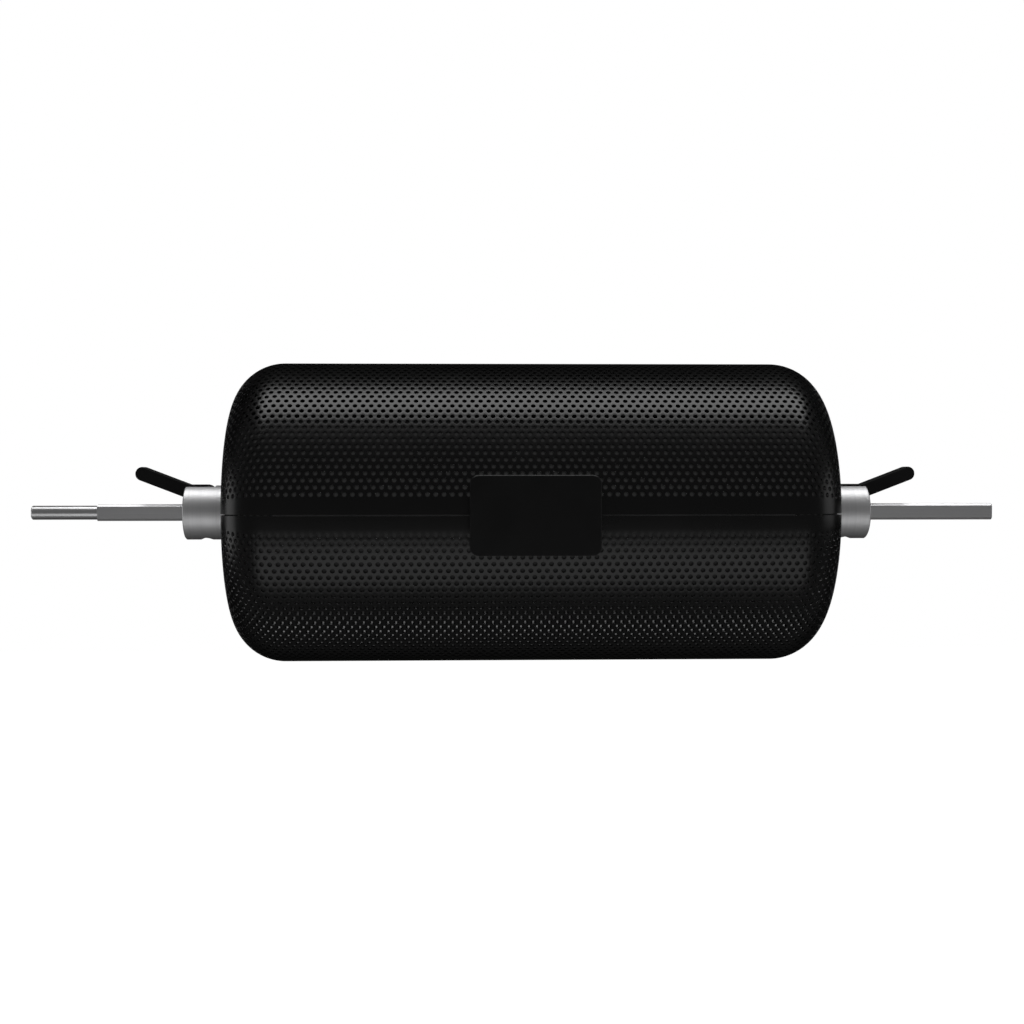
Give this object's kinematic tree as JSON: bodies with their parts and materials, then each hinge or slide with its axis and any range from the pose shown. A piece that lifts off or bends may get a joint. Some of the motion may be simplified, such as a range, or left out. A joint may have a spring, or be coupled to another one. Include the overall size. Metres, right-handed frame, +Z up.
{
  "type": "rotisserie tumble basket",
  "caption": "Black perforated drum in two hinged halves, clamped on a square spit by cam levers, that tumbles food over a grill or in a rotisserie oven.",
  "frame": {"origin": "on the spit's axis, at the middle of the round journal on the spit's left end", "axes": "+X along the spit from its journal to its square drive end, +Z up, -Y the side of the latch, +Y the side of the hinges"},
  "size_m": [0.5875, 0.1935, 0.181],
  "materials": {
    "spit_steel": "drawn stainless bar, fine lengthways grain; the journal polished",
    "hub_metal": "turned and satin-brushed around the axis",
    "shell_black": "black heat-resistant coating, satin",
    "lever_black": "matte black coating, fine grain",
    "latch_black": "black coating, smooth matte",
    "hardware_black": "black coating, satin",
    "rivet_black": "black coating, worn on the domes",
    "plate_steel": "plain mill finish",
    "pin_steel": "ground",
    "spring_steel": "blued spring steel, dull"
  },
  "bodies": {
    "spit": {"spit_rod": "spit_steel"},
    "basket": {"lower_shell": "shell_black", "guide_strip_front": "shell_black", "guide_strip_rear": "shell_black", "hub_left": "hub_metal", "hub_right": "hub_metal", "hub_plate_left": "plate_steel", "hub_plate_right": "plate_steel", "hub_nut_left": "hub_metal", "hub_nut_right": "hub_metal", "hub_rivets": "rivet_black", "lever_pin_left": "pin_steel", "lever_pin_right": "pin_steel", "hinge_leaf_lower_left": "hardware_black", "hinge_leaf_lower_right": "hardware_black", "hinge_pin_left": "pin_steel", "hinge_pin_right": "pin_steel", "hinge_rivets_lower": "rivet_black", "keeper": "hardware_black", "keeper_rivets": "rivet_black"},
    "lid": {"upper_shell": "shell_black", "hinge_leaf_upper_left": "hardware_black", "hinge_leaf_upper_right": "hardware_black", "hinge_rivets_upper": "rivet_black", "latch_bracket": "hardware_black", "bracket_rivets": "rivet_black"},
    "latch": {"latch_plate": "latch_black", "latch_pin": "pin_steel", "latch_spring": "spring_steel", "latch_tongue": "spring_steel", "tongue_rivets": "rivet_black"},
    "lever_left": {"cam_lever_left": "lever_black"},
    "lever_right": {"cam_lever_right": "lever_black"}
  },
  "joints": [
    {"name": "basket_on_spit", "type": "slide", "parent": "spit", "child": "basket", "axis": [1, 0, 0], "range_m": [-0.05, 0.075]},
    {"name": "lid_open", "type": "hinge", "parent": "basket", "child": "lid", "pos_m": [0.281, 0.094, 0], "axis": [-1, 0, 0], "range_deg": [0, 110]},
    {"name": "latch_swing", "type": "hinge", "parent": "lid", "child": "latch", "pos_m": [0.281, -0.0922, 0.0185], "axis": [-1, 0, 0], "range_deg": [0, 65], "stiffness_Nm_per_rad": 0.02, "springref_deg": -28.65},
    {"name": "lever_left_lift", "type": "hinge", "parent": "basket", "child": "lever_left", "pos_m": [0.0856, 0, 0.0119], "axis": [0, 1, 0], "range_deg": [0, 70]},
    {"name": "lever_right_lift", "type": "hinge", "parent": "basket", "child": "lever_right", "pos_m": [0.4764, 0, 0.0119], "axis": [0, -1, 0], "range_deg": [0, 70]}
  ]
}
